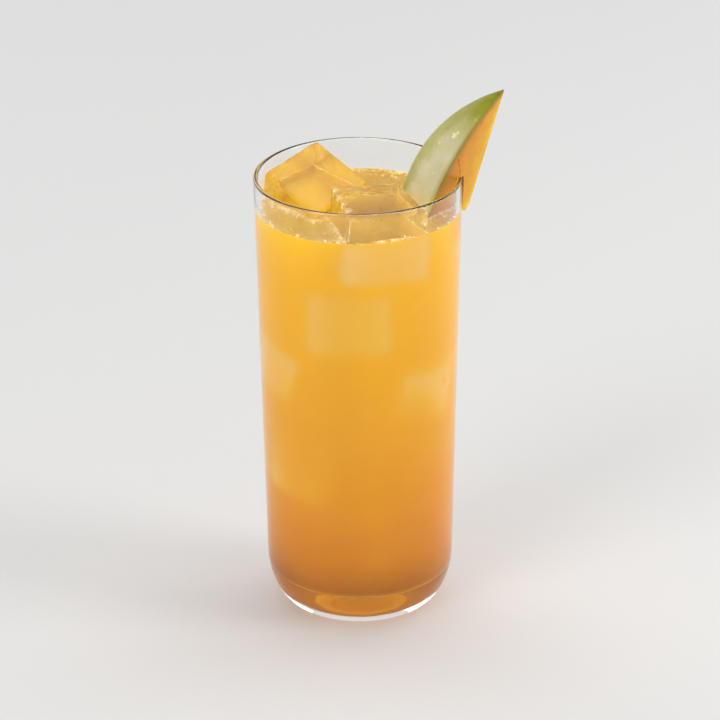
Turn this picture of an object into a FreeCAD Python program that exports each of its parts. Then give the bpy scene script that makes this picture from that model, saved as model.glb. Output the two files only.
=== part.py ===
import FreeCAD, Part
import math
import os

# A tall tumbler of iced fruit punch, with a mango wedge slit onto its rim.
# Millimetres, +Z up. The origin is on the glass's axis, on the plane that it stands on.
# The wedge hangs on the +X side of the rim.

V = FreeCAD.Vector

# Glass: outside
glass_height = 147.5
rim_radius = 33.0
heel_radius = 30.0        # where the side turns into the base
heel_height = 18.5
foot_radius = 19.0        # the flat that it stands on
# Glass: inside
rim_wall = 1.4
heel_wall = 2.2
base_thickness = 9.8
floor_radius = 14.0       # flat part of the inside floor
floor_turn = 16.0        # how far above the floor the inside turns into the side
lip_rounding = 0.6        # both edges of the rim

# Drink
headspace = 11.2          # from the rim down to the drink

# Ice cubes that stand out of the drink: size, how much narrower each side of the back is,
# centre, and turns about Z, Y and X
ice_rounding = 1.3
ice_wall_gap = 0.3
ice_gap = 0.4             # to the other cube and to the wedge
ice_left_size = (24.1, 23.3, 21.2)
ice_left_taper = 0.3
ice_left_drop = 11.0      # centre of the cube below the rim
ice_left_place = (-14.3, 6.9)
ice_left_turns = (-42.0, 21.6, 14.6)
ice_right_size = (26.2, 23.9, 24.3)
ice_right_taper = 1.7
ice_right_drop = 13.5
ice_right_place = (4.9, -16.0)
ice_right_turns = (19.8, 4.2, 3.2)

# Mango wedge: a slice between two flat cuts that meet in a straight inner edge
wedge_rise = 28.9         # tip above the rim
wedge_reach = 13.1        # tip outside the rim's outer edge
wedge_side = -0.5         # tip along Y
wedge_lean_out = 14.55    # the inner edge leans outwards and to the front, upwards
wedge_lean_front = 8.8
wedge_half_length = 44.5  # from the tip to where the wedge is deepest
wedge_depth = 21.8        # inner edge to skin at the deepest place
wedge_length = 54.0       # from the tip down to the square cut at the lower end
wedge_front_angle = 50.3  # front cut, from straight inwards
wedge_back_angle = 16.0   # back cut, the other way
# Slit that takes the rim
slit_clearance = 0.2
slit_above_rim = 8.5      # the knife cut runs on above the rim
slit_cut = 0.4            # width of that cut
flap_drop = 16.0          # outer edge of the flesh outside the glass, below the rim
flap_radius = 35.1        # distance from the glass's axis to that edge

side_height = glass_height - heel_height
drink_level = glass_height - headspace
inner_heel_height = base_thickness + floor_turn


def outer_radius(height):
    """Outer radius of the glass's straight side."""
    return rim_radius + (rim_radius - heel_radius) * (height - glass_height) / side_height


def inner_radius(height):
    """Inner radius of the glass's straight side."""
    wall = rim_wall + (heel_wall - rim_wall) * (glass_height - height) / side_height
    return outer_radius(height) - wall


def quarter_ellipse(start, corner, end):
    """The curve that leaves start towards corner and arrives at end from it."""
    curve = Part.BezierCurve()
    curve.setPoles([start, corner, end])
    curve.setWeight(2, math.sqrt(0.5))
    return curve.toShape()


def tumbler_shape(floor, flat, turn_height, turn_radius, top, top_radius):
    """A solid of revolution: flat floor, elliptic turn and straight side."""
    axis_low = V(0, 0, floor)
    flat_edge = V(flat, 0, floor)
    turn = V(turn_radius, 0, turn_height)
    top_edge = V(top_radius, 0, top)
    axis_high = V(0, 0, top)
    outline = Part.Wire([
        Part.makeLine(axis_low, flat_edge),
        quarter_ellipse(flat_edge, V(turn_radius, 0, floor), turn),
        Part.makeLine(turn, top_edge),
        Part.makeLine(top_edge, axis_high),
        Part.makeLine(axis_high, axis_low),
    ])
    return Part.Face(outline).revolve(V(0, 0, 0), V(0, 0, 1), 360)


def cavity(top, gap=0.0):
    """The inside of the glass up to a height, a gap away from the glass."""
    return tumbler_shape(
        base_thickness + gap, floor_radius, inner_heel_height,
        inner_radius(inner_heel_height) - gap, top, inner_radius(top) - gap)


def make_glass():
    outside = tumbler_shape(0, foot_radius, heel_height, heel_radius, glass_height, rim_radius)
    above_rim = glass_height + 5
    body = outside.cut(cavity(above_rim))
    lip = [edge for edge in body.Edges if edge.BoundBox.ZMin > glass_height - 0.01]
    return body.makeFillet(lip_rounding, lip)


def ice_block(size, taper, place, drop, turns, grow=0.0):
    """A rounded block, turned and placed, grown by some clearance."""
    width, depth, height = size
    side = width / 2 + grow
    narrow_side = side - taper
    front = -depth / 2 - grow
    low = -height / 2 - grow
    block = Part.makeWedge(-side, front, low, low, -narrow_side,
                           side, -front, -low, -low, narrow_side)
    block = block.makeFillet(ice_rounding + grow, block.Edges)
    centre = V(place[0], place[1], glass_height - drop)
    block.Placement = FreeCAD.Placement(centre, FreeCAD.Rotation(*turns))
    return block


def make_ice(block, neighbours):
    """A block melted back where it meets the glass and its neighbours."""
    above_ice = block.BoundBox.ZMax + glass_height
    ice = block.common(cavity(above_ice, ice_wall_gap))
    for neighbour in neighbours:
        ice = ice.cut(neighbour)
    return ice


def wedge_placement():
    """The wedge's own axes: +Z up its inner edge from the tip, -X towards the skin."""
    tip = V(rim_radius + wedge_reach, wedge_side, glass_height + wedge_rise)
    out = math.tan(math.radians(wedge_lean_out))
    front = math.tan(math.radians(wedge_lean_front))
    edge = V(out, -front, 1)
    turn = FreeCAD.Rotation(V(1, 0, 0), V(0, 1, 0), edge, "ZYX")
    return FreeCAD.Placement(tip, turn)


def wedge_depth_at(down):
    """Depth from the inner edge to the skin, this far down from the tip."""
    curve_radius = (wedge_half_length ** 2 + wedge_depth ** 2) / (2 * wedge_depth)
    from_deepest = wedge_half_length - down
    return math.sqrt(curve_radius ** 2 - from_deepest ** 2) - curve_radius + wedge_depth


def whole_wedge(grow=0.0):
    """The wedge before it is slit, grown by some clearance: its side outline turned
    about its inner edge."""
    length = wedge_length + grow
    half_way = length / 2
    tip = V(-grow, 0, 0)
    middle = V(-wedge_depth_at(half_way) - grow, 0, -half_way)
    skin_end = V(-wedge_depth_at(length) - grow, 0, -length)
    edge_end = V(0, 0, -length)
    outline = [
        Part.Arc(tip, middle, skin_end).toShape(),
        Part.makeLine(skin_end, edge_end),
        Part.makeLine(edge_end, V(0, 0, 0)),
    ]
    if grow:
        outline.append(Part.makeLine(V(0, 0, 0), tip))
    spread = math.degrees(grow / wedge_reach)
    back = wedge_back_angle + spread
    face = Part.Face(Part.Wire(outline))
    face.rotate(V(0, 0, 0), V(0, 0, 1), -back)
    wedge = face.revolve(V(0, 0, 0), V(0, 0, 1), back + wedge_front_angle + spread)
    wedge.Placement = wedge_placement()
    return wedge


def side_cone(low, high, radius_at, grow):
    """A solid inside one surface of the glass's side, grown by some clearance."""
    cone = Part.makeCone(radius_at(low) + grow, radius_at(high) + grow, high - low)
    cone.translate(V(0, 0, low))
    return cone


def make_slit():
    """Room for the glass's side, and the knife cut above the rim."""
    low = heel_height
    top = glass_height + slit_clearance
    room = side_cone(low, top, outer_radius, slit_clearance)
    room = room.cut(side_cone(low, top, inner_radius, -slit_clearance))
    middle = rim_radius - rim_wall / 2
    height = slit_above_rim + 1
    cut = Part.makeCylinder(middle + slit_cut / 2, height, V(0, 0, glass_height - 1))
    core = Part.makeCylinder(middle - slit_cut / 2, height, V(0, 0, glass_height - 1))
    return room.fuse(cut.cut(core))


def flap_trim():
    """What is cut off below the flesh that hangs outside the glass, on a slant."""
    below = wedge_length
    tip_height = glass_height - flap_drop
    cone = Part.makeCone(flap_radius + below, flap_radius - flap_drop, below + flap_drop)
    cone.translate(V(0, 0, tip_height - below))
    low = tip_height - below
    high = glass_height
    return cone.cut(side_cone(low, high, outer_radius, slit_clearance))


def make_wedge():
    return whole_wedge().cut(make_slit()).cut(flap_trim())


def make_drink(sunk):
    """The drink fills the glass up to its level, round everything that dips into it."""
    drink = cavity(drink_level)
    for piece in sunk:
        drink = drink.cut(piece)
    return drink


def main():
    left = (ice_left_size, ice_left_taper, ice_left_place, ice_left_drop, ice_left_turns)
    right = (ice_right_size, ice_right_taper, ice_right_place, ice_right_drop,
             ice_right_turns)
    wedge = make_wedge()
    wedge_room = whole_wedge(ice_gap)
    ice_left = make_ice(ice_block(*left), [wedge_room])
    ice_right = make_ice(ice_block(*right), [ice_block(*left, ice_gap), wedge_room])
    nodes = {
        "glass": make_glass(),
        "drink": make_drink([ice_left, ice_right, wedge]),
        "ice_cube_left": ice_left,
        "ice_cube_right": ice_right,
        "mango_wedge": wedge,
    }
    os.makedirs("parts", exist_ok=True)
    for name, shape in nodes.items():
        shape.exportStep(f"parts/{name}.step")
        print(name, shape.isValid(), len(shape.Solids), "solids", round(shape.Volume), "mm3")


main()
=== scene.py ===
import math
import random

import bmesh
import bpy
import numpy as np
from mathutils import Euler, Matrix, Vector, noise
from mathutils.bvhtree import BVHTree


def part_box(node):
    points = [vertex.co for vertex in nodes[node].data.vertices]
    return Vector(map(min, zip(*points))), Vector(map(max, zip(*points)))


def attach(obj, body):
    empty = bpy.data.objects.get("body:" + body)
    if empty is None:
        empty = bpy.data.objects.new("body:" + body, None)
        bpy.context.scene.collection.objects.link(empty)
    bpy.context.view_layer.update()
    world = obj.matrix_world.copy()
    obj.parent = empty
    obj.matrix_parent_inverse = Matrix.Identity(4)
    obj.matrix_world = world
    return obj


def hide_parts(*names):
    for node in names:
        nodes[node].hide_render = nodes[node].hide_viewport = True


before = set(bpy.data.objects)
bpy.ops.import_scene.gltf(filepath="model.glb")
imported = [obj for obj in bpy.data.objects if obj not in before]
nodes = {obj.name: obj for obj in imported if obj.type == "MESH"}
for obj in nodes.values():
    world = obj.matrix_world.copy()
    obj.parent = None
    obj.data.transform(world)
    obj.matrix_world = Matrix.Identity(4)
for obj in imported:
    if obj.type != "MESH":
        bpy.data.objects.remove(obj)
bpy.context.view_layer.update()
MM = 0.001
WELD = 0.002 * MM           # points this near each other are one point
SIDE, TOP, POCKET = range(3)    # the punch's materials, in their slots


# ---------------------------------------------------------------- helpers
def linear(red, green, blue):
    """An 8-bit colour as the linear colour that a shader takes."""
    def one(c):
        c /= 255
        return c / 12.92 if c <= 0.04045 else ((c + 0.055) / 1.055) ** 2.4
    return (one(red), one(green), one(blue), 1.0)


def smooth_step(t):
    """0 up to t = 0 and 1 from t = 1, with a smooth rise between."""
    t = min(max(t, 0.0), 1.0)
    return t * t * (3 - 2 * t)


def tree_of(obj):
    """A search tree of obj's faces."""
    return BVHTree.FromPolygons([v.co.copy() for v in obj.data.vertices],
                                [tuple(p.vertices) for p in obj.data.polygons])


def new_object(name, data):
    obj = bpy.data.objects.new(name, data)
    bpy.context.scene.collection.objects.link(obj)
    return obj


def mesh_from(name, vertices, faces):
    mesh = bpy.data.meshes.new(name)
    mesh.from_pydata(vertices, [], faces)
    mesh.validate()
    return mesh


def apply_modifiers(obj):
    """Replaces obj's mesh by the one its modifiers make."""
    evaluated = obj.evaluated_get(bpy.context.evaluated_depsgraph_get())
    mesh = bpy.data.meshes.new_from_object(evaluated)
    obj.modifiers.clear()
    old = obj.data
    obj.data = mesh
    bpy.data.meshes.remove(old)


def copy_of(node, name):
    """A plain copy of a CAD node's mesh, with its seams welded."""
    mesh = nodes[node].data.copy()
    mesh.materials.clear()
    made = bmesh.new()
    made.from_mesh(mesh)
    bmesh.ops.remove_doubles(made, verts=made.verts, dist=WELD)
    made.to_mesh(mesh)
    made.free()
    if mesh.has_custom_normals:
        mesh.attributes.remove(mesh.attributes["custom_normal"])
    return new_object(name, mesh)


def remesh(obj, voxel, surface):
    """Gives obj an even dense mesh, with its points on the surface that it had."""
    step = obj.modifiers.new("even", "REMESH")
    step.mode = "VOXEL"
    step.voxel_size = voxel
    step.adaptivity = 0
    apply_modifiers(obj)
    for vertex in obj.data.vertices:
        vertex.co = surface.find_nearest(vertex.co)[0]


def drop_fins(obj):
    """Deletes the faces that lie back to back or hang on one edge where a cut left slivers."""
    made = bmesh.new()
    made.from_mesh(obj.data)
    bmesh.ops.triangulate(made, faces=made.faces)
    bmesh.ops.remove_doubles(made, verts=made.verts, dist=WELD)
    bmesh.ops.dissolve_degenerate(made, dist=WELD, edges=made.edges)
    bmesh.ops.triangulate(made, faces=made.faces)
    corners = {}
    for face in made.faces:
        corners.setdefault(frozenset(face.verts), []).append(face)
    doubled = [face for same in corners.values() if len(same) > 1 for face in same]
    bmesh.ops.delete(made, geom=doubled, context="FACES")
    hanging = [face for face in made.faces if any(edge.is_boundary for edge in face.edges)]
    bmesh.ops.delete(made, geom=hanging, context="FACES")
    made.to_mesh(obj.data)
    made.free()


def keep_largest(obj):
    """Drops the specks that a remesh or a cut leaves apart from the main surface."""
    made = bmesh.new()
    made.from_mesh(obj.data)
    left = set(made.verts)
    groups = []
    while left:
        queue = [left.pop()]
        group = []
        while queue:
            vertex = queue.pop()
            group.append(vertex)
            near = {edge.other_vert(vertex) for edge in vertex.link_edges} & left
            left -= near
            queue.extend(near)
        groups.append(group)
    groups.sort(key=len)
    for group in groups[:-1]:
        bmesh.ops.delete(made, geom=group, context="VERTS")
    made.to_mesh(obj.data)
    made.free()


def paint(mesh, name, values):
    """Stores a value for each point, for a material to read."""
    layer = mesh.attributes.new(name, "FLOAT", "POINT")
    layer.data.foreach_set("value", np.asarray(values, np.float32))


def shade_smooth(obj, angle=None):
    """Smooth shading. With an angle in degrees, edges sharper than that stay sharp."""
    obj.data.polygons.foreach_set("use_smooth", [True] * len(obj.data.polygons))
    if angle is not None:
        obj.data.set_sharp_from_angle(angle=math.radians(angle))


def ends_of_edges(mesh):
    """The first and the second point of each edge, as two arrays."""
    edges = np.empty(len(mesh.edges) * 2, np.int32)
    mesh.edges.foreach_get("vertices", edges)
    return edges.reshape(-1, 2).T


def neighbour_sums(values, one, two):
    """For each point, the sum of its neighbours' values and how many neighbours it has."""
    total, links = np.zeros_like(values), np.zeros(len(values))
    for here, there in ((one, two), (two, one)):
        np.add.at(total, here, values[there])
        np.add.at(links, here, 1)
    return total, links


def finish_piece(obj, node=None):
    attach(obj, "root")
    if node:
        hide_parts(node)
    return obj


# ---------------------------------------------------------------- materials
class Shader:
    """A material's node tree, built one node at a time."""

    def __init__(self, name):
        self.material = bpy.data.materials.new(name)
        self.material.use_nodes = True
        self.tree = self.material.node_tree
        self.tree.nodes.clear()

    def add(self, kind, inputs=(), **settings):
        """A new node. Each input is given another node's output or a constant."""
        node = self.tree.nodes.new("ShaderNode" + kind)
        for key, value in settings.items():
            setattr(node, key, value)
        for key, value in dict(inputs).items():
            if isinstance(value, bpy.types.NodeSocket):
                self.tree.links.new(value, node.inputs[key])
            else:
                node.inputs[key].default_value = value
        return node

    def place(self):
        """Where the point lies, in metres."""
        return self.add("TexCoord").outputs["Object"]

    def noise(self, scale, detail=3.0, roughness=0.5, vector=None, distortion=0.0):
        return self.add("TexNoise", {"Vector": vector or self.place(), "Scale": scale,
                                     "Detail": detail, "Roughness": roughness,
                                     "Distortion": distortion}).outputs["Fac"]

    def attribute(self, name):
        return self.add("Attribute", attribute_name=name).outputs["Fac"]

    def span(self, value, low, high, to_low=0.0, to_high=1.0, smooth=False):
        """Carries low to high over to to_low to to_high, and stops at those ends."""
        inputs = {"Value": value, "From Min": low, "From Max": high,
                  "To Min": to_low, "To Max": to_high}
        curve = "SMOOTHSTEP" if smooth else "LINEAR"
        return self.add("MapRange", inputs, interpolation_type=curve).outputs["Result"]

    def math(self, operation, one, two, clamp=False):
        settings = {"operation": operation, "use_clamp": clamp}
        return self.add("Math", {0: one, 1: two}, **settings).outputs[0]

    def mix(self, share, one, two):
        """Goes from colour one to colour two as share goes from 0 to 1."""
        return self.add("Mix", {0: share, 6: one, 7: two}, data_type="RGBA").outputs[2]

    def ramp(self, value, *stops):
        """Colours along value, from stops of a position and an 8-bit red, green and blue."""
        node = self.add("ValToRGB", {"Fac": value})
        ramp = node.color_ramp
        while len(ramp.elements) < len(stops):
            ramp.elements.new(0.5)
        for element, (position, *colour) in zip(ramp.elements, stops):
            element.position = position
            element.color = linear(*colour)
        return node.outputs["Color"]

    def bump(self, height, distance, strength=1.0, normal=None):
        inputs = {"Height": height, "Distance": distance, "Strength": strength}
        if normal:
            inputs["Normal"] = normal
        return self.add("Bump", inputs).outputs["Normal"]

    def principled(self, **inputs):
        """The main shader. An input's name is written with _ for each space."""
        inputs = {name.replace("_", " "): value for name, value in inputs.items()}
        return self.add("BsdfPrincipled", inputs).outputs["BSDF"]

    def output(self, surface):
        self.add("OutputMaterial", {"Surface": surface})
        return self.material

    def clear_output(self, surface, shadow=0.97):
        """The surface lets lamps through, so that what is inside is lit."""
        is_shadow = self.add("LightPath").outputs["Is Shadow Ray"]
        passing = self.add("BsdfTransparent", {"Color": (shadow, shadow, shadow, 1)})
        both = self.add("MixShader", {0: is_shadow, 1: surface, 2: passing.outputs["BSDF"]})
        return self.output(both.outputs[0])


# How far light spreads in the pulpy punch: metres, and shares for red, green and blue.
PULP_SCATTER = {"Subsurface_Scale": 0.003, "Subsurface_Radius": (1.0, 0.8, 0.4)}


def glass_material():
    s = Shader("tumbler_glass")
    wave = s.noise(55.0, 2.0, 0.4)
    rough = s.span(s.noise(420.0, 2.0), 0.35, 0.75, 0.0, 0.03)
    body = s.principled(Base_Color=(0.985, 0.995, 0.99, 1), Roughness=rough, IOR=1.5,
                        Transmission_Weight=1.0, Normal=s.bump(wave, 0.04 * MM))
    return s.clear_output(body)


def punch_side_material():
    """The punch behind the glass: darker downwards as painted shade, paler where sunk ice is
    near.
    """
    s = Shader("punch_side")
    # Painted shade: the colour darkens from the drink's level down to its floor.
    height = s.add("SeparateXYZ", {0: s.place()}).outputs["Z"]
    up = s.span(height, DRINK_FLOOR, DRINK_LEVEL)
    drift = s.span(s.noise(38.0, distortion=0.6), 0, 1, -0.08, 0.08)
    body = s.ramp(s.math("ADD", up, drift, True), (0.0, 202, 116, 0), (0.1, 213, 131, 0),
                  (0.25, 225, 151, 0), (0.45, 230, 166, 0), (0.7, 234, 176, 0),
                  (0.9, 239, 184, 4), (1.0, 244, 194, 16))
    pale = s.ramp(s.attribute("ice_share"), (0.0, 235, 178, 12), (0.35, 234, 184, 48),
                  (0.75, 234, 192, 98), (1.0, 236, 198, 120))
    share = s.span(s.attribute("ice_share"), 0.02, 0.55, 0.0, 0.95, True)
    colour = s.mix(share, body, pale)
    colour = s.mix(s.attribute("mango_share"), colour, linear(200, 122, 18))
    mottle = s.span(s.noise(260.0, 2.0), 0.3, 0.7, 0.0, 0.04)
    colour = s.mix(mottle, colour, linear(255, 206, 90))
    # Painted light: a paler colour where the punch faces down, seen through the glass's base.
    colour = s.mix(s.attribute("underside"), colour, linear(246, 178, 60))
    return s.output(s.principled(Base_Color=colour, Roughness=0.75, Subsurface_Weight=0.15,
                                 Specular_IOR_Level=0.0, **PULP_SCATTER))


def punch_top_material():
    """The punch's open surface, with fine froth where it meets other things."""
    s = Shader("punch_top")
    foam = s.attribute("froth")
    cells = s.noise(700.0, roughness=0.6)
    specks = s.math("MULTIPLY", foam, s.span(cells, 0.42, 0.6), True)
    swirl = s.ramp(s.noise(60.0, distortion=1.2), (0.3, 196, 146, 20), (0.55, 206, 160, 40),
                   (0.75, 216, 174, 62))
    colour = s.mix(specks, swirl, linear(255, 232, 178))
    return s.output(s.principled(
        Base_Color=colour, Roughness=s.span(specks, 0, 1, 0.1, 0.45), IOR=1.34,
        Subsurface_Weight=0.25, Subsurface_Scale=0.003, Subsurface_Radius=(1.0, 0.6, 0.15),
        Normal=s.bump(cells, 0.12 * MM, s.span(foam, 0, 1, 0.1, 1.0))))


def pocket_material():
    """The punch's face against sunk ice and fruit, seen through the ice."""
    s = Shader("punch_pocket")
    height = s.add("SeparateXYZ", {0: s.place()}).outputs["Z"]
    up = s.span(height, DRINK_LEVEL - 16 * MM, DRINK_LEVEL)
    drift = s.span(s.noise(90.0), 0.3, 0.7, -0.12, 0.12)
    colour = s.ramp(s.math("ADD", up, drift), (0.0, 222, 178, 20), (0.5, 228, 188, 34),
                    (1.0, 234, 198, 60))
    return s.output(s.principled(Base_Color=colour, Roughness=0.5, Subsurface_Weight=0.2,
                                 Specular_IOR_Level=0.1, **PULP_SCATTER))


def ice_material():
    s = Shader("clear_ice")
    frost = s.attribute("frost")
    fine = s.noise(900.0, roughness=0.6)
    ripple = s.noise(150.0)
    frosty = s.math("MULTIPLY", frost, s.span(fine, 0.3, 0.55, 0.35, 1.0), True)
    colour = s.mix(frosty, linear(250, 230, 116), linear(255, 238, 196))
    rough = s.math("ADD", s.span(frosty, 0, 1, 0.03, 0.4), s.span(ripple, 0.4, 0.8, 0.0, 0.08))
    normal = s.bump(fine, 0.05 * MM, 0.5, s.bump(ripple, 0.3 * MM, 0.6))
    ice = s.principled(Base_Color=colour, Roughness=rough, IOR=1.31, Normal=normal,
                       Transmission_Weight=s.span(frosty, 0, 1, 0.86, 0.15))
    return s.clear_output(ice, 0.96)


def bubble_material():
    s = Shader("froth_bubbles")
    tint = s.mix(s.noise(300.0), linear(255, 236, 190), linear(255, 250, 232))
    film = s.principled(Base_Color=tint, Roughness=0.08, IOR=1.2, Transmission_Weight=0.6)
    return s.clear_output(film, 0.9)


def water_material():
    s = Shader("water_beads")
    rough = s.span(s.noise(900.0), 0.3, 0.7, 0.0, 0.04)
    bead = s.principled(Base_Color=(1, 1, 1, 1), Roughness=rough, IOR=1.33,
                        Transmission_Weight=1.0)
    return s.clear_output(bead)


def mango_skin(s, along, across, broad, dots):
    """Green skin that darkens to its tip, pale bloom and painted highlight, pale dots and dark
    freckles.
    """
    drift = s.span(broad, 0.3, 0.7, -0.12, 0.12)
    green = s.ramp(s.math("ADD", along, drift), (0.0, 116, 120, 12), (0.12, 146, 146, 18),
                   (0.4, 172, 166, 50), (0.8, 168, 166, 62), (1.0, 138, 150, 56))
    # A pale band down the middle of the skin: partly bloom, partly a painted highlight.
    wander = s.math("ADD", across, s.span(broad, 0.3, 0.7, -0.16, 0.16))
    bloom_and_highlight = s.span(wander, -0.45, 0.3, 0, 1, True)
    for share in (s.span(across, 0.76, 0.97, 1, 0, True), s.span(along, 0.1, 0.42, 0, 1, True),
                  s.span(broad, 0.25, 0.6, 0.7, 1.0)):
        bloom_and_highlight = s.math("MULTIPLY", bloom_and_highlight, share)
    skin = s.mix(bloom_and_highlight, green, linear(220, 212, 174))
    skin = s.mix(s.math("MULTIPLY", dots, 0.55), skin, linear(214, 214, 150))
    freckles = s.span(s.noise(620.0, 2.0), 0.62, 0.72, 0.0, 0.45, True)
    freckles = s.math("MULTIPLY", freckles, s.span(across, -0.2, 0.25, 1.0, 0.15))
    return s.mix(freckles, skin, linear(104, 110, 26))


def mango_flesh(s, depth, broad, fibre):
    """Yellow flesh at the inner edge, orange further in, greenish at the rind; painted shade in
    the glass.
    """
    drift = s.span(s.noise(75.0, roughness=0.55), 0.3, 0.7, -0.2, 0.2)
    flesh = s.ramp(s.math("ADD", s.attribute("from_edge"), drift), (0.0, 250, 208, 50),
                   (0.14, 238, 178, 22), (0.4, 228, 152, 10), (0.75, 210, 122, 6),
                   (1.0, 200, 118, 12))
    flesh = s.mix(s.span(fibre, 0.35, 0.7, 0.0, 0.26), flesh, linear(244, 184, 48))
    wavy_depth = s.math("ADD", depth, s.span(broad, 0.3, 0.7, -0.6, 0.6))
    flesh = s.mix(s.span(wavy_depth, 0.8, 4.2, 1, 0, True), flesh, linear(152, 128, 30))
    # Painted shade: the flesh inside the glass turns darker and browner.
    return s.mix(s.math("MULTIPLY", s.attribute("wet"), 0.6), flesh, linear(164, 106, 14))


def mango_material():
    s = Shader("mango")
    depth = s.attribute("rind_depth")
    broad = s.noise(110.0, 4.0, 0.6)
    cells = s.add("TexVoronoi", {"Vector": s.place(), "Scale": 520.0})
    dots = s.span(cells.outputs["Distance"], 0.05, 0.22, 1.0, 0.0, True)
    dots = s.math("MULTIPLY", dots, s.span(s.noise(330.0), 0.5, 0.62))
    grain = s.add("Mapping", {"Vector": s.place(), "Rotation": (0.0, 0.26, 0.15),
                              "Scale": (1.0, 1.0, 0.13)}).outputs[0]
    fibre = s.noise(1300.0, roughness=0.6, vector=grain)
    skin = mango_skin(s, s.attribute("along"), s.attribute("across"), broad, dots)
    is_skin = s.span(depth, 0.03, 0.22, 1.0, 0.0)
    colour = s.mix(is_skin, mango_flesh(s, depth, broad, fibre), skin)
    relief = s.mix(is_skin, fibre, s.span(dots, 0, 1, 0.5, 1.0))
    fine = s.bump(s.noise(900.0, roughness=0.6), 0.04 * MM, 0.5)
    return s.output(s.principled(
        Base_Color=colour, Roughness=s.span(is_skin, 0, 1, 0.34, 0.38), Specular_IOR_Level=0.3,
        Subsurface_Weight=0.12, Subsurface_Scale=0.002, Subsurface_Radius=(1.0, 0.8, 0.4),
        Normal=s.bump(relief, 0.16 * MM, 0.7, fine)))


# ---------------------------------------------------------------- the glass and its inside
DRINK_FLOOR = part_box("drink")[0].z
DRINK_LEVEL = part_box("drink")[1].z
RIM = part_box("glass")[1].z
INTO_WALL = 0.15 * MM       # how far the punch reaches into the glass's wall
NEAR_GLASS = 0.3 * MM       # punch this near the glass shows through it
UP = Vector((0, 0, 1))
glass_tree = tree_of(nodes["glass"])


def wall_radius(z):
    """Inner radius of the glass at a height: the median of eight rays from its axis."""
    found = []
    for step in range(8):
        angle = 0.3 + step * math.pi / 4
        way = Vector((math.cos(angle), math.sin(angle), 0))
        found.append(glass_tree.ray_cast(Vector((0, 0, z)), way)[3])
    return float(np.median(found))


LEVEL_RADIUS = wall_radius(DRINK_LEVEL)


def at_glass(co):
    """True where a point of the punch is at the glass and not beside ice or fruit."""
    return glass_tree.find_nearest(co, NEAR_GLASS)[0] is not None


def to_nearest(co, trees):
    """Distance along the drink's level to the glass or to a piece, whichever is nearer."""
    to_wall = LEVEL_RADIUS - math.hypot(co.x, co.y)
    return min([tree.find_nearest(co)[3] for tree in trees] + [to_wall])


def finish_glass():
    nodes["glass"].data.materials.clear()
    nodes["glass"].data.materials.append(glass_material())


# ---------------------------------------------------------------- ice
ICE_VOXEL = 0.42 * MM
ICE_SMOOTHING = 6           # rounds that soften the cubes' edges
# How far the surface has melted back, and how much that varies in broad and small hollows.
# Millimetres.
MELT_DEPTH, MELT_BROAD, MELT_SMALL = 0.22, 0.26, 0.07
EDGE_FROST, SPECK_FROST = 0.85, 0.12
# Frosty places: centre and radius in millimetres, and amount.
FROST_SPOTS = {
    "ice_left": [((1.3, 14.3, 141), 6.5, 0.7), ((-28, 8, 141), 3.0, 0.5)],
    "ice_right": [((-7.6, -12, 146.8), 2.2, 1.0), ((-6.2, -16.5, 146.4), 2.0, 1.0),
                  ((-4.6, -21.5, 146.0), 2.0, 1.0), ((-3.2, -26, 145.7), 2.4, 1.0),
                  ((14.5, -9, 146.6), 1.5, 0.6), ((17, -15, 146.2), 1.5, 0.7),
                  ((19.6, -20.5, 145.8), 1.8, 0.8), ((20.5, -23, 141), 2.2, 0.8)],
}


def melt(obj, seed):
    """Moves a cube's surface inwards, unevenly, as ice melts."""
    away = Vector((seed * 3.1, seed * 7.7, seed * 1.3))
    mesh = obj.data
    normals = [v.normal.copy() for v in mesh.vertices]
    for vertex, normal in zip(mesh.vertices, normals):
        broad = noise.noise((vertex.co / MM) * 0.13 + away)
        small = noise.noise((vertex.co / MM) * 0.55 + away)
        vertex.co -= normal * MM * (MELT_DEPTH + MELT_BROAD * broad + MELT_SMALL * small)


def spot_frost(name, co):
    """Frost at a point from the cube's frosty places."""
    total = 0.0
    for place, radius, amount in FROST_SPOTS[name]:
        near = 1 - (co / MM - Vector(place)).length / radius
        if near > 0:
            broken = 0.7 + 0.6 * noise.noise(co / MM * 0.9)
            total += amount * smooth_step(near * 1.6) * broken
    return min(total, 1.0)


def frost_of(obj, core):
    """Frost at each point: on the cube's edges, in faint specks and at its frosty places.
    At an edge the surface turns away from the nearest face of the cube before it melted."""
    values = []
    centre = sum((v.co for v in obj.data.vertices), Vector()) / len(obj.data.vertices)
    for vertex in obj.data.vertices:
        normal = core.find_nearest(vertex.co)[1]
        bend = 1 - abs(normal.dot(vertex.normal))
        speck = noise.noise((vertex.co - centre) / MM * 0.35)
        plain = EDGE_FROST * smooth_step(bend * 12) + SPECK_FROST * smooth_step(speck * 2.2)
        values.append(max(plain, spot_frost(obj.name, vertex.co)))
    return values


def build_ice(node, name, seed, material):
    obj = copy_of(node, name)
    surface = tree_of(obj)
    remesh(obj, ICE_VOXEL, surface)
    rounding = obj.modifiers.new("round", "SMOOTH")
    rounding.factor = 0.5
    rounding.iterations = ICE_SMOOTHING
    apply_modifiers(obj)
    melt(obj, seed)
    shade_smooth(obj)
    obj.data.update()
    paint(obj.data, "frost", frost_of(obj, surface))
    obj.data.materials.append(material)
    return finish_piece(obj, node)


def grown(obj, amount):
    """A copy whose surface is moved along its normals."""
    mesh = obj.data.copy()
    mesh.materials.clear()
    for vertex, source in zip(mesh.vertices, obj.data.vertices):
        vertex.co = source.co + source.normal * amount
    return new_object(obj.name + "_cutter", mesh)


# ---------------------------------------------------------------- mango wedge
MANGO_VOXEL = 0.26 * MM
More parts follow.
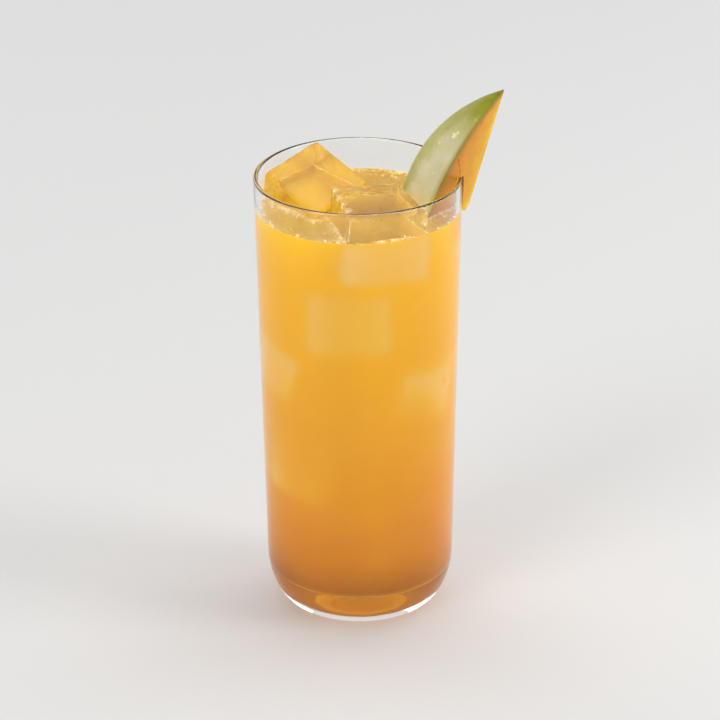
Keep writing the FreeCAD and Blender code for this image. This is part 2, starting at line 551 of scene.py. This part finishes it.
# The wedge's own sizes, as the CAD has them: millimetres and degrees.
WEDGE_LEAN_OUT = 14.55
WEDGE_LEAN_FRONT = 8.8
WEDGE_HALF_LENGTH = 44.5
WEDGE_DEPTH = 21.8
WEDGE_LENGTH = 54.0
WEDGE_FRONT_ANGLE = 50.3
WEDGE_BACK_ANGLE = 16.0
# Painted shade on the flesh inside the glass: it begins this far from the glass's axis and
# this far above the rim, and is full after these distances. Millimetres.
SHADE_RADIUS, SHADE_INWARDS = 33.2, 2.0
SHADE_TOP, SHADE_DOWNWARDS = 6.0, 9.0
# The flap outside the glass: beyond this distance from the axis, its lower edge is rounded
# over this width, in so many rounds of smoothing.
FLAP_RADIUS = 33.1 * MM
FLAP_ROUNDING = 2.6 * MM
FLAP_ROUNDS = 70
# How far the surface lies back, and how much that varies broadly and finely. Millimetres.
HOLLOW_DEPTH, HOLLOW_BROAD, HOLLOW_FINE = 0.05, 0.05, 0.03
# Beads of water on the skin: place and radius, millimetres.
DROPLETS = [
    (26.2, -8.9, 166.6, 0.95), (27.9, -8.9, 167.0, 0.5), (35.5, -8.0, 170.0, 0.45),
    (24.0, -4.0, 160.5, 0.5), (21.5, -9.5, 152.0, 0.38), (17.6, 1.0, 152.5, 0.45),
    (20.0, 6.0, 157.0, 0.6), (27.0, 3.5, 165.5, 0.5), (17.0, -6.0, 146.5, 0.42),
]
BEAD_SHAPE = Matrix.Diagonal((1.0, 1.12, 0.62, 1.0))


def wedge_axes():
    """World to the wedge's own axes: Z up its inner edge from the tip, -X to the skin."""
    tip = max((v.co for v in nodes["mango_wedge"].data.vertices), key=lambda co: co.z)
    out = math.tan(math.radians(WEDGE_LEAN_OUT))
    front = math.tan(math.radians(WEDGE_LEAN_FRONT))
    edge = Vector((out, -front, 1)).normalized()
    inwards = Vector((1, 0, 0))
    inwards = (inwards - edge * inwards.dot(edge)).normalized()
    turn = Matrix((inwards, edge.cross(inwards), edge))
    return turn.to_4x4() @ Matrix.Translation(-tip)


def wedge_depth_at(down):
    """Depth from the inner edge to the skin, this far down from the tip."""
    curve = (WEDGE_HALF_LENGTH ** 2 + WEDGE_DEPTH ** 2) / (2 * WEDGE_DEPTH)
    from_deepest = WEDGE_HALF_LENGTH - down
    return math.sqrt(max(curve ** 2 - from_deepest ** 2, 0)) - curve + WEDGE_DEPTH


def paint_mango(obj):
    """Where each point lies in the fruit: below the skin, along the wedge, across it and
    from its inner edge. And how far it lies in the painted shade inside the glass."""
    to_wedge = wedge_axes()
    middle = (WEDGE_FRONT_ANGLE - WEDGE_BACK_ANGLE) / 2
    half = (WEDGE_FRONT_ANGLE + WEDGE_BACK_ANGLE) / 2
    rows = []
    for vertex in obj.data.vertices:
        from_axis = math.hypot(vertex.co.x, vertex.co.y) / MM
        below_rim = (RIM - vertex.co.z) / MM
        wet = (smooth_step((SHADE_RADIUS - from_axis) / SHADE_INWARDS)
               * smooth_step((below_rim + SHADE_TOP) / SHADE_DOWNWARDS))
        at = (to_wedge @ vertex.co) / MM
        reach = math.hypot(at.x, at.y)
        depth = max(wedge_depth_at(-at.z), 0.01)
        along = min(max(-at.z / WEDGE_LENGTH, 0), 1)
        across = (math.degrees(math.atan2(-at.y, -at.x)) - middle) / half
        rows.append((max(depth - reach, 0), along, across, min(reach / depth, 1), wet))
    names = ("rind_depth", "along", "across", "from_edge", "wet")
    for name, values in zip(names, zip(*rows)):
        paint(obj.data, name, values)


def round_flap(obj):
    """Rounds the lower outer edge of the flesh that hangs outside the glass."""
    mesh = obj.data
    at = np.empty(len(mesh.vertices) * 3)
    mesh.vertices.foreach_get("co", at)
    at = at.reshape(-1, 3)
    reach = np.hypot(at[:, 0], at[:, 1])
    outside = reach > FLAP_RADIUS
    low = at[outside, 2].min()
    outer = reach[outside & (at[:, 2] < low + 0.6 * MM)].max()
    far = np.hypot(reach - outer, at[:, 2] - low)
    weight = np.clip(1.25 - far / FLAP_ROUNDING, 0, 1) * outside
    one, two = ends_of_edges(mesh)
    near = (weight[one] > 0) | (weight[two] > 0)
    one, two = one[near], two[near]
    for _ in range(FLAP_ROUNDS):
        total, links = neighbour_sums(at, one, two)
        mean = total / np.maximum(links, 1)[:, None]
        at += (mean - at) * (0.5 * weight * (links > 0))[:, None]
    mesh.vertices.foreach_set("co", at.ravel())
    mesh.update()


def build_mango():
    obj = copy_of("mango_wedge", "mango_garnish")
    remesh(obj, MANGO_VOXEL, tree_of(obj))
    keep_largest(obj)
    paint_mango(obj)
    round_flap(obj)
    normals = [v.normal.copy() for v in obj.data.vertices]
    for vertex, normal in zip(obj.data.vertices, normals):
        at = vertex.co / MM
        vertex.co -= normal * MM * (HOLLOW_DEPTH + HOLLOW_BROAD * noise.noise(at * 0.4)
                                    + HOLLOW_FINE * noise.noise(at * 1.6))
    shade_smooth(obj, 50)
    obj.data.materials.append(mango_material())
    return finish_piece(obj, "mango_wedge")


def build_droplets(fruit):
    """Beads of water on the mango's skin."""
    tree = tree_of(fruit)
    made = bmesh.new()
    for x, y, z, radius in DROPLETS:
        place, normal, _, _ = tree.find_nearest(Vector((x, y, z)) * MM)
        turn = normal.to_track_quat("Z", "Y").to_matrix().to_4x4()
        bmesh.ops.create_icosphere(made, subdivisions=3, radius=radius * MM,
                                   matrix=Matrix.Translation(place) @ turn @ BEAD_SHAPE)
    mesh = bpy.data.meshes.new("droplets")
    made.to_mesh(mesh)
    made.free()
    obj = new_object("skin_droplets", mesh)
    shade_smooth(obj)
    mesh.materials.append(water_material())
    return finish_piece(obj)


# ---------------------------------------------------------------- punch
SEGMENTS = 264              # round the axis
TURN_HEIGHT = 17 * MM       # from the floor to where the side is straight
TURN_RINGS = 38             # along the floor and its turn
SIDE_RINGS = 120            # up the side
TOP_RINGS = 58              # in along the top
TOP_CROWDING = 1.06         # above 1, the rings crowd a little towards the middle
INTO_PIECES = 0.1 * MM      # how far the punch reaches into the ice and the fruit
# How high the punch climbs at the glass and at the pieces, within what distance, and how
# high the ripples elsewhere are. Millimetres.
WALL_CLIMB, WALL_REACH = 0.9, 1.0
PIECE_CLIMB, PIECE_REACH = 0.8, 0.9
RIPPLE = 0.10
# Sunk cubes that show through the punch: centre, size and turns, millimetres and degrees.
SUNK_CUBES = [
    ((-1.9, -14.3, 108.0), (21.6, 22.0, 21.5), (3, 0, -4)),
    ((12.8, -9.8, 82.0), (18.0, 19.0, 18.0), (24, 14, 32)),
    ((-9.0, -6.5, 54.0), (18.0, 19.0, 23.0), (-8, 12, -28)),
    ((-16.0, -8.0, 88.0), (17.0, 17.0, 17.0), (15, -12, 32)),
    ((9.0, 11.0, 104.0), (22.0, 21.0, 22.0), (10, -8, 20)),
    ((-9.0, 10.5, 74.0), (21.0, 20.0, 20.0), (-14, 10, 50)),
    ((10.0, 7.0, 58.0), (20.0, 19.0, 20.0), (20, 15, -30)),
    ((2.0, 2.0, 32.0), (21.0, 20.0, 20.0), (8, 12, 10)),
]
GHOST_REACH = 6.5 * MM      # punch this thick hides two thirds of what is behind it
GHOST_RAYS = 22             # that look inwards from each point of the side
GHOST_START = 0.3 * MM      # how far outside the point they begin
GHOST_LIMIT = 30 * MM       # how far in they look
GHOST_SLOPE = 0.2           # how steeply they go down, as one looks down at a glass
GHOST_SPREAD = 0.3          # how far they fan out from straight in
GOLDEN_ANGLE = 2.39996      # from each ray to the next, which spreads them evenly
HIGHEST_EDGE = DRINK_LEVEL + 1.2 * MM
FROTH_REACH = 1.6 * MM      # from what it gathers at
# Where the punch faces down this steeply, its colour turns to that of its lit underside.
UNDERSIDE_FROM, UNDERSIDE_OVER = 0.76, 0.2


def drink_profile():
    """(radius, height) from the floor's middle, up the side and in along the top.
    The floor and its turn are felt out by rays that fan from the axis."""
    points = []
    above = DRINK_FLOOR + TURN_HEIGHT
    for step in range(1, TURN_RINGS):
        slope = -math.pi / 2 * (1 - step / TURN_RINGS)
        way = Vector((math.cos(slope), 0, math.sin(slope)))
        hit = glass_tree.ray_cast(Vector((0, 0, above)), way)[0] + way * INTO_WALL
        points.append((hit.x, hit.z))
    for step in range(SIDE_RINGS + 1):
        z = above + (DRINK_LEVEL - above) * step / SIDE_RINGS
        points.append((wall_radius(z) + INTO_WALL, z))
    outer = points[-1][0]
    for step in range(1, TOP_RINGS):
        points.append((outer * (1 - step / TOP_RINGS) ** TOP_CROWDING, DRINK_LEVEL))
    return points


def revolve(points, name):
    """A closed surface of revolution. Its ends are closed by fans at the axis."""
    vertices = [(0, 0, points[0][1])]
    for radius, z in points:
        for step in range(SEGMENTS):
            a = 2 * math.pi * step / SEGMENTS
            vertices.append((radius * math.cos(a), radius * math.sin(a), z))
    vertices.append((0, 0, points[-1][1]))
    top = len(vertices) - 1
    top_ring = top - SEGMENTS
    faces = []
    for step in range(SEGMENTS):
        after = (step + 1) % SEGMENTS
        faces.append((0, 1 + after, 1 + step))
        faces.append((top_ring + step, top_ring + after, top))
        for ring in range(len(points) - 1):
            a = 1 + ring * SEGMENTS
            b = a + SEGMENTS
            faces.append((a + step, a + after, b + after, b + step))
    return new_object(name, mesh_from(name, vertices, faces))


def raise_edges(obj, trees):
    """The punch climbs a little where it meets the glass, the ice and the fruit."""
    for vertex in obj.data.vertices:
        if vertex.co.z < DRINK_LEVEL - 0.001 * MM:
            continue
        to_wall = max(LEVEL_RADIUS - math.hypot(vertex.co.x, vertex.co.y), 0)
        to_piece = min(tree.find_nearest(vertex.co)[3] for tree in trees)
        lift = max(WALL_CLIMB * math.exp(-to_wall / (WALL_REACH * MM)),
                   PIECE_CLIMB * math.exp(-to_piece / (PIECE_REACH * MM)))
        ripple = RIPPLE * noise.noise(vertex.co / MM * 0.22)
        vertex.co.z += MM * (lift + ripple * (1 - lift))


def cut(obj, cutter):
    """Cuts cutter out of obj, and deletes it."""
    step = obj.modifiers.new("cut", "BOOLEAN")
    step.operation = "DIFFERENCE"
    step.solver = "MANIFOLD"
    step.object = cutter
    apply_modifiers(obj)
    mesh = cutter.data
    bpy.data.objects.remove(cutter)
    bpy.data.meshes.remove(mesh)


def box_tree(centre, size, turns):
    """A search tree of a turned box, from millimetres and degrees."""
    turn = Euler([math.radians(a) for a in turns]).to_matrix()
    corners = []
    for x in (-0.5, 0.5):
        for y in (-0.5, 0.5):
            for z in (-0.5, 0.5):
                local = Vector((x * size[0], y * size[1], z * size[2]))
                corners.append((turn @ local + Vector(centre)) * MM)
    sides = [(0, 1, 3, 2), (4, 6, 7, 5), (0, 4, 5, 1), (2, 3, 7, 6), (0, 2, 6, 4), (1, 5, 7, 3)]
    return BVHTree.FromPolygons(corners, sides)


def spread(mesh, values, rounds):
    """Each point's value averaged with its neighbours', some rounds over."""
    one, two = ends_of_edges(mesh)
    values = np.array(values, float)
    for _ in range(rounds):
        total, links = neighbour_sums(values, one, two)
        values = (values + total) / (1 + links)
    return values


def look_inwards():
    """Small turns away from straight in, wider for the later rays."""
    rng = random.Random(4)
    turns = []
    for step in range(GHOST_RAYS):
        size = GHOST_SPREAD * math.sqrt((step + 0.5) / GHOST_RAYS)
        angle = step * GOLDEN_ANGLE + rng.random() * 0.3
        turns.append((size * math.cos(angle), size * math.sin(angle)))
    return turns


def ghost_at(co, turns, ice_trees, fruit_tree):
    """How much ice and how much fruit shows through the punch at a point of its side."""
    radius = math.hypot(co.x, co.y)
    inwards = Vector((-co.x, -co.y, -GHOST_SLOPE * radius)).normalized()
    aside = inwards.cross(UP).normalized()
    upwards = aside.cross(inwards)
    ice, fruit = 0.0, 0.0
    for a, b in turns:
        way = (inwards + aside * a + upwards * b).normalized()
        start = co - way * GHOST_START
        best = 1.0
        for tree in ice_trees:
            hit = tree.ray_cast(start, way, GHOST_LIMIT)
            if hit[0] is not None:
                best = min(best, hit[3])
        ice += math.exp(-best / GHOST_REACH)
        hit = fruit_tree.ray_cast(start, way, GHOST_LIMIT)
        if hit[0] is not None and hit[3] < best:
            fruit += math.exp(-hit[3] / GHOST_REACH)
    return ice / len(turns), fruit / len(turns)


def paint_ghosts(mesh, ice_trees, fruit_tree):
    """Marks where ice and fruit show through the punch's side."""
    turns = look_inwards()
    shares = []
    for vertex in mesh.vertices:
        if at_glass(vertex.co) and vertex.co.z <= HIGHEST_EDGE:
            shares.append(ghost_at(vertex.co, turns, ice_trees, fruit_tree))
        else:
            shares.append((0.0, 0.0))
    for name, values in zip(("ice_share", "mango_share"), zip(*shares)):
        paint(mesh, name, spread(mesh, values, 3))


def froth_share(mesh, trees):
    """Fine froth at each point: in patches along the glass, the ice and the fruit."""
    values = []
    for vertex in mesh.vertices:
        co = vertex.co
        if co.z < DRINK_LEVEL - 0.5 * MM:
            values.append(0.0)
            continue
        near = max(to_nearest(co, trees), 0)
        patch = 0.6 + 0.7 * noise.noise(co / MM * 0.12 + Vector((5, 2, 1)))
        values.append(min(max(patch, 0), 1) * math.exp(-near / FROTH_REACH))
    return values


def build_punch(cubes, fruit):
    obj = revolve(drink_profile(), "rum_punch")
    cube_trees = [tree_of(cube) for cube in cubes]
    fruit_tree = tree_of(fruit)
    trees = cube_trees + [fruit_tree]
    raise_edges(obj, trees)
    for piece in cubes + [fruit]:
        cut(obj, grown(piece, -INTO_PIECES))
    drop_fins(obj)
    keep_largest(obj)
    mesh = obj.data
    paint_ghosts(mesh, cube_trees + [box_tree(*cube) for cube in SUNK_CUBES], fruit_tree)
    # Where the punch faces down, for its painted light.
    paint(mesh, "underside", [smooth_step((-vertex.normal.z - UNDERSIDE_FROM) / UNDERSIDE_OVER)
                              for vertex in mesh.vertices])
    paint(mesh, "froth", froth_share(mesh, trees))
    mesh.materials.clear()
    for material in (punch_side_material(), punch_top_material(), pocket_material()):
        mesh.materials.append(material)
    indices = []
    for face in mesh.polygons:
        facing_up = face.normal.z > 0.25 and face.center.z > DRINK_LEVEL - 0.6 * MM
        indices.append(TOP if facing_up else SIDE if at_glass(face.center) else POCKET)
    mesh.polygons.foreach_set("material_index", indices)
    shade_smooth(obj, 45)
    return finish_piece(obj, "drink")


# ---------------------------------------------------------------- bubbles
MOST_BUBBLES = 1500
BUBBLE_CHANCE = 0.45        # for each face of the punch's top, right beside something
BUBBLE_REACH = 0.9 * MM     # the chance falls off over this distance
LONE_BUBBLE_CHANCE = 0.002  # anywhere
SMALLEST_BUBBLE = 0.16      # radius, millimetres
BUBBLE_RANGE = 0.42         # from the smallest to the largest
FINE_BUBBLE = 0.3 * MM      # larger bubbles are rounder


def bubble_spots(punch, trees, rng):
    """Where bubbles sit: in patches along the glass, the ice and the fruit."""
    spots = []
    for face in punch.data.polygons:
        if face.material_index != TOP:
            continue
        co = face.center
        near = to_nearest(co, trees)
        patch = noise.noise(co / MM * 0.16 + Vector((3, 9, 4)))
        chance = BUBBLE_CHANCE * math.exp(-near / BUBBLE_REACH) * (0.45 + 1.6 * max(patch, -0.2))
        if co.y > 12 * MM or co.x < -18 * MM:   # more at the back and at the left
            chance *= 1.8
        if near < 0.25 * MM:                    # fewer right beside what they gather at
            chance *= 0.4
        if rng.random() < chance + LONE_BUBBLE_CHANCE:
            spots.append(co.copy())
    rng.shuffle(spots)
    return spots[:MOST_BUBBLES]


def build_bubbles(punch, trees):
    """Small balls, sunk a little into the punch and kept clear of the glass."""
    rng = random.Random(11)
    made = bmesh.new()
    for co in bubble_spots(punch, trees, rng):
        size = (SMALLEST_BUBBLE + BUBBLE_RANGE * rng.random() ** 2.5) * MM
        jitter = Vector((rng.uniform(-0.3, 0.3), rng.uniform(-0.3, 0.3), 0)) * MM
        past_wall = math.hypot(co.x + jitter.x, co.y + jitter.y) - LEVEL_RADIUS + size * 0.8
        if past_wall > 0:
            jitter -= Vector((co.x, co.y, 0)).normalized() * past_wall
        place = Matrix.Translation(co + jitter + UP * size * 0.45)
        bmesh.ops.create_icosphere(made, subdivisions=2 if size > FINE_BUBBLE else 1,
                                   radius=size, matrix=place)
    mesh = bpy.data.meshes.new("froth")
    made.to_mesh(mesh)
    made.free()
    obj = new_object("froth_bubbles", mesh)
    shade_smooth(obj)
    mesh.materials.append(bubble_material())
    return finish_piece(obj)


# ---------------------------------------------------------------- build
finish_glass()
ice = ice_material()
left = build_ice("ice_cube_left", "ice_left", 1, ice)
right = build_ice("ice_cube_right", "ice_right", 2, ice)
garnish = build_mango()
punch = build_punch([left, right], garnish)
build_droplets(garnish)
build_bubbles(punch, [tree_of(left), tree_of(right), tree_of(garnish)])


# ---------------------------------------------------------------- stage
BACKDROP = 0.79             # how bright the backdrop looks, also in the glass
WORLD_LIGHT = 0.42          # how brightly the world lights the object
# Metres: half the floor's side, and where the floor begins to turn into the backdrop and
# where it has.
FLOOR_HALF = 6.0
BACKDROP_FROM, BACKDROP_FULL = 0.3, 1.3
# Name, place, size and power of each lamp. All look at the middle of the glass.
LAMPS = [
    ("soft_left", (-0.6, -0.7, 0.5), (0.45, 0.9), 4.0),
    ("soft_right", (0.75, -0.2, 0.45), (0.3, 0.9), 2.9),
    ("back_left", (-0.75, 0.75, 0.42), (0.6, 0.6), 1.8),
    ("back_right", (0.85, 0.65, 0.3), (0.9, 0.5), 2.9),
    ("soft_top", (0.1, 0.3, 1.2), (0.9, 0.6), 3.4),
]
LAMP_TARGET = Vector((0, 0, 0.09))
CAMERA_TARGET = Vector((0, 0, 0.08364))
CAMERA_AWAY = 1.5
CAMERA_ELEVATION = math.radians(24.26)
CAMERA_ROLL = math.radians(-0.333)
CAMERA_LENS = 234.2         # millimetres, on a sensor 36 mm wide
CAMERA_SHIFT = 1.05 / 720   # of the picture's width


def seen_rays(tree):
    """1 for the rays that show the backdrop: camera, glossy and transmission rays."""
    path = tree.nodes.new("ShaderNodeLightPath")
    seen = path.outputs["Is Camera Ray"]
    for kind in ("Is Glossy Ray", "Is Transmission Ray"):
        either = tree.nodes.new("ShaderNodeMath")
        either.operation = "MAXIMUM"
        tree.links.new(seen, either.inputs[0])
        tree.links.new(path.outputs[kind], either.inputs[1])
        seen = either.outputs[0]
    return seen


def build_floor():
    """A pale floor that takes the object's shadow and, further out, turns into the backdrop."""
    s = Shader("studio_floor")
    tone = s.mix(s.noise(3.0, 2.0), linear(228, 228, 228), linear(231, 231, 230))
    matte = s.principled(Base_Color=tone, Roughness=0.7)
    pale = s.add("Emission", {"Color": (BACKDROP, BACKDROP, BACKDROP, 1)})
    away = s.add("VectorMath", {0: s.place()}, operation="LENGTH").outputs["Value"]
    share = s.math("MULTIPLY", s.span(away, BACKDROP_FROM, BACKDROP_FULL, 0, 1, True),
                   seen_rays(s.tree))
    both = s.add("MixShader", {0: share, 1: matte, 2: pale.outputs[0]})
    corners = [(-1, -1), (1, -1), (1, 1), (-1, 1)]
    mesh = mesh_from("floor", [(x * FLOOR_HALF, y * FLOOR_HALF, 0) for x, y in corners],
                     [(0, 1, 2, 3)])
    mesh.materials.append(s.output(both.outputs[0]))
    floor = new_object("floor", mesh)
    floor.location.z = -0.1 * MM


def softbox(name, place, size, power):
    data = bpy.data.lights.new(name, "AREA")
    data.shape = "RECTANGLE"
    data.size, data.size_y = size
    data.energy = power
    lamp = new_object(name, data)
    lamp.location = place
    lamp.rotation_euler = (LAMP_TARGET - Vector(place)).to_track_quat("-Z", "Y").to_euler()


def build_light():
    """Lamps, and a world that lights the object less brightly than its backdrop looks."""
    world = bpy.data.worlds.new("studio")
    world.use_nodes = True
    bpy.context.scene.world = world
    tree = world.node_tree
    lighting = tree.nodes["Background"]
    backdrop = tree.nodes.new("ShaderNodeBackground")
    for node, strength in ((lighting, WORLD_LIGHT), (backdrop, BACKDROP)):
        node.inputs["Color"].default_value = (1, 1, 1, 1)
        node.inputs["Strength"].default_value = strength
    both = tree.nodes.new("ShaderNodeMixShader")
    tree.links.new(seen_rays(tree), both.inputs[0])
    tree.links.new(lighting.outputs[0], both.inputs[1])
    tree.links.new(backdrop.outputs[0], both.inputs[2])
    tree.links.new(both.outputs[0], tree.nodes["World Output"].inputs["Surface"])
    for lamp in LAMPS:
        softbox(*lamp)


def build_camera():
    data = bpy.data.cameras.new("camera")
    data.sensor_width = 36
    data.lens = CAMERA_LENS
    data.shift_x = CAMERA_SHIFT
    data.clip_start = 0.01
    camera = new_object("camera", data)
    away = Vector((0, -math.cos(CAMERA_ELEVATION), math.sin(CAMERA_ELEVATION)))
    camera.location = CAMERA_TARGET + away * CAMERA_AWAY
    tilt = Euler((math.pi / 2 - CAMERA_ELEVATION, 0, 0)).to_matrix()
    camera.rotation_euler = (tilt @ Matrix.Rotation(CAMERA_ROLL, 3, "Z")).to_euler()
    bpy.context.scene.camera = camera


build_floor()
build_light()
build_camera()
bpy.context.scene.view_settings.view_transform = "Standard"
bpy.context.view_layer.update()
